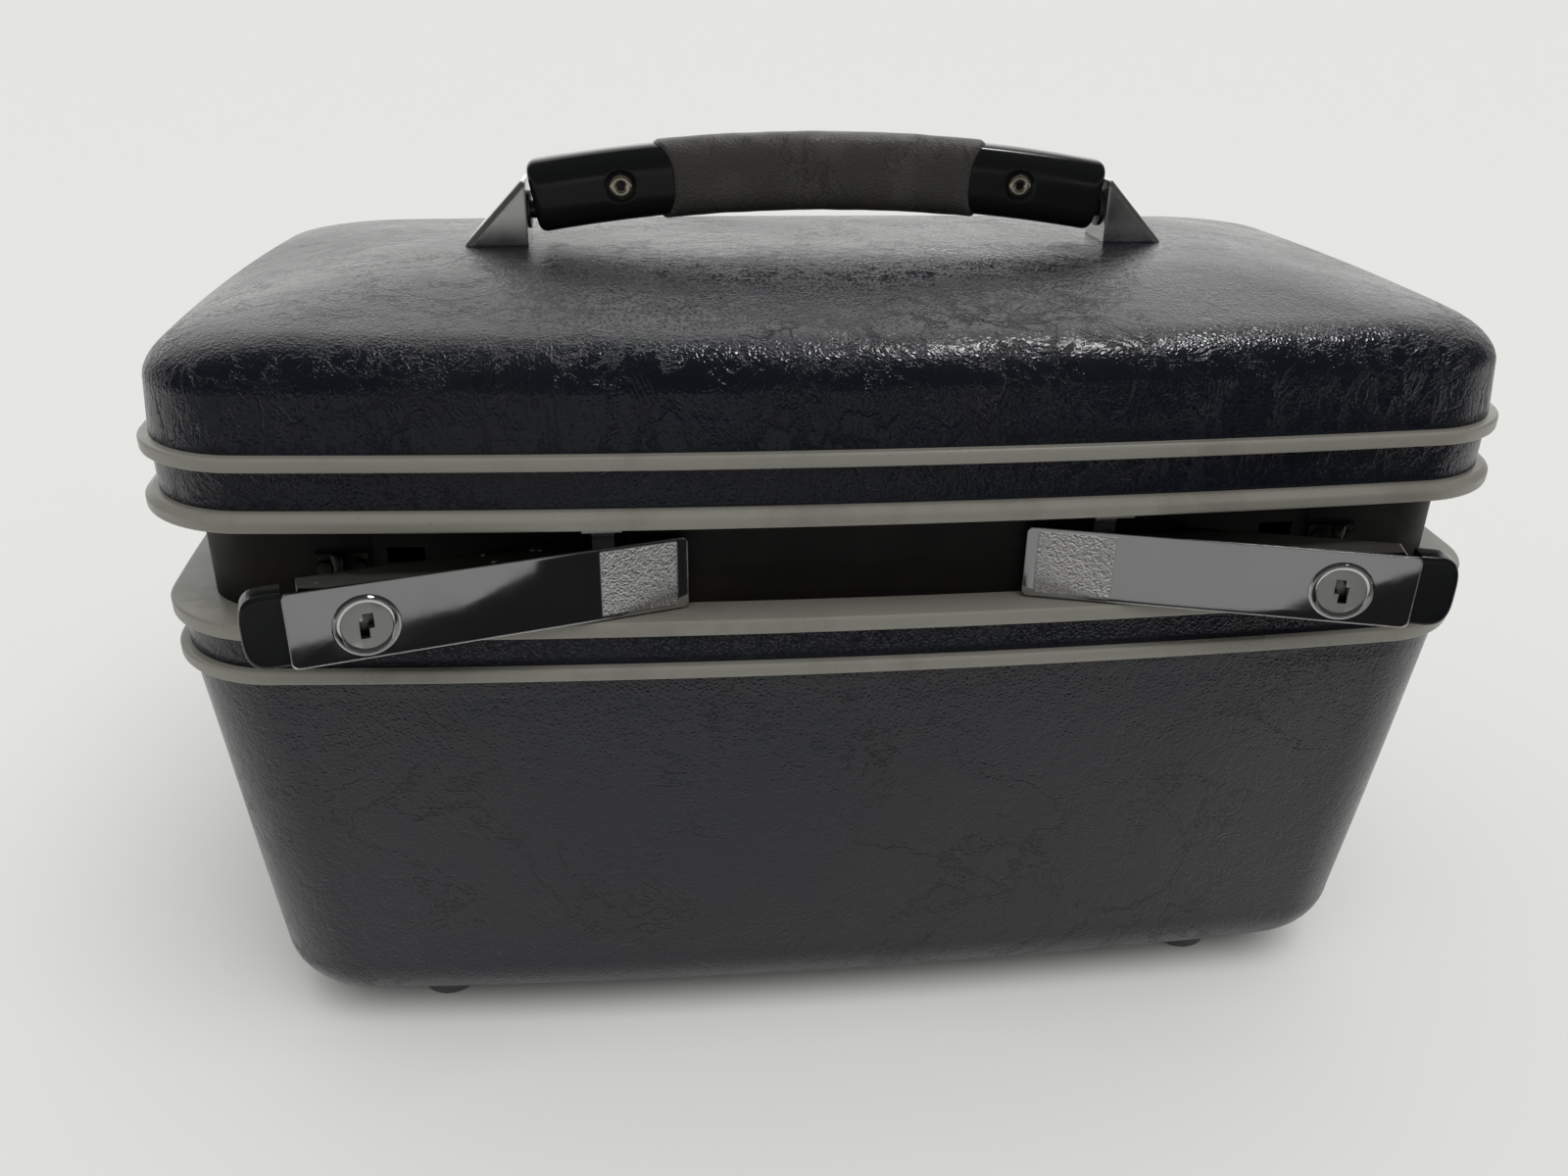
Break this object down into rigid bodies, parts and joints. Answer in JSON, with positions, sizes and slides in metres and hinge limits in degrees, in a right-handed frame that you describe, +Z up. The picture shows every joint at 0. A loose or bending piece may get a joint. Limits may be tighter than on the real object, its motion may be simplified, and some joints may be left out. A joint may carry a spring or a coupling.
{
  "type": "train case",
  "caption": "Hard-sided train case with a tapered body, domed hinged lid, recessed channel, two swing latches with locks and an arched carrying handle on wedge brackets.",
  "frame": {"origin": "on the ground, under the middle of the whole part with its latches swung open", "axes": "+Z up, +Y from the latches to the hinges, +X to the right seen from the front"},
  "size_m": [0.3446, 0.2106, 0.2404],
  "materials": {
    "grained_vinyl": "leather-grain embossed, semi-gloss",
    "grey_trim": "smooth, slightly worn",
    "black_frame": "matte black",
    "lining_fabric": "satin weave",
    "foot_rubber": "moulded, matte",
    "polished_chrome": "polished, fine scratches",
    "satin_metal": "satin",
    "plated_steel": "zinc plated",
    "dull_steel": "dull, slightly oxidised",
    "eyelet_brass": "nickel worn to brass",
    "black_gloss": "glossy black",
    "grip_leather": "matte grain",
    "mirror_glass": "silvered glass"
  },
  "bodies": {
    "body": {"body_shell": "grained_vinyl", "body_lining": "lining_fabric", "body_lower_band": "grey_trim", "body_rim": "grey_trim", "channel_frame": "black_frame", "feet": "foot_rubber", "foot_rivets": "dull_steel", "hinge_leaf_body_left": "plated_steel", "hinge_leaf_body_right": "plated_steel", "hinge_pin_left": "plated_steel", "hinge_pin_right": "plated_steel", "hinge_rivets_body": "plated_steel", "stay_stud": "plated_steel", "latch_base_left": "plated_steel", "latch_base_right": "plated_steel", "latch_pin_left": "plated_steel", "latch_pin_right": "plated_steel", "catch_left": "dull_steel", "catch_right": "dull_steel", "catch_rivets": "plated_steel"},
    "lid": {"lid_shell": "grained_vinyl", "lid_lining": "lining_fabric", "lid_rim": "grey_trim", "lid_upper_band": "grey_trim", "mirror_frame": "satin_metal", "mirror": "mirror_glass", "hinge_leaf_lid_left": "plated_steel", "hinge_leaf_lid_right": "plated_steel", "hinge_rivets_lid": "plated_steel", "hasp_left": "plated_steel", "hasp_right": "plated_steel", "stay_bracket": "plated_steel", "handle_bracket_left": "polished_chrome", "handle_bracket_right": "polished_chrome", "handle_pin_left": "dull_steel", "handle_pin_right": "dull_steel"},
    "handle": {"handle_core": "dull_steel", "grip_sleeve": "grip_leather", "handle_end_left": "black_gloss", "handle_end_right": "black_gloss", "handle_eyelets": "eyelet_brass"},
    "stay": {"stay_arm": "plated_steel"},
    "lever_left": {"lever_frame_left": "dull_steel", "lever_cover_left": "polished_chrome", "lock_ring_left": "polished_chrome"},
    "lever_right": {"lever_frame_right": "dull_steel", "lever_cover_right": "polished_chrome", "lock_ring_right": "polished_chrome"},
    "plug_left": {"lock_plug_left": "satin_metal"},
    "plug_right": {"lock_plug_right": "satin_metal"},
    "button_left": {"release_button_left": "black_gloss"},
    "button_right": {"release_button_right": "black_gloss"}
  },
  "joints": [
    {"name": "lid_hinge", "type": "hinge", "parent": "body", "child": "lid", "pos_m": [0, 0.10225, 0.1514], "axis": [-1, 0, 0], "range_deg": [0, 100]},
    {"name": "lid_stay", "type": "hinge", "parent": "lid", "child": "stay", "pos_m": [-0.1541, 0.02534, 0.17345], "axis": [-1, 0, 0], "range_deg": [-50, 0]},
    {"name": "handle_swing", "type": "hinge", "parent": "lid", "child": "handle", "pos_m": [0, 0.00924, 0.2201], "axis": [1, 0, 0], "range_deg": [-90, 90]},
    {"name": "latch_left", "type": "hinge", "parent": "body", "child": "lever_left", "pos_m": [-0.0669, -0.07999, 0.1493], "axis": [0, 0, 1], "range_deg": [-18.6, 0]},
    {"name": "latch_right", "type": "hinge", "parent": "body", "child": "lever_right", "pos_m": [0.0669, -0.07999, 0.1493], "axis": [0, 0, 1], "range_deg": [0, 18.6]},
    {"name": "lock_left", "type": "hinge", "parent": "lever_left", "child": "plug_left", "pos_m": [-0.11278, -0.09915, 0.1484], "axis": [0.279, -0.9603, 0], "range_deg": [-90, 0]},
    {"name": "lock_right", "type": "hinge", "parent": "lever_right", "child": "plug_right", "pos_m": [0.11278, -0.09915, 0.1484], "axis": [-0.279, -0.9603, 0], "range_deg": [0, 90]},
    {"name": "release_left", "type": "slide", "parent": "lever_left", "child": "button_left", "axis": [0.9603, 0.279, 0], "range_m": [0, 0.003], "stiffness_N_per_m": 300},
    {"name": "release_right", "type": "slide", "parent": "lever_right", "child": "button_right", "axis": [-0.9603, 0.279, 0], "range_m": [0, 0.003], "stiffness_N_per_m": 300}
  ],
  "couplings": [
    {"joint": "lid_stay", "follows": "lid_hinge", "ratio": -0.5}
  ]
}
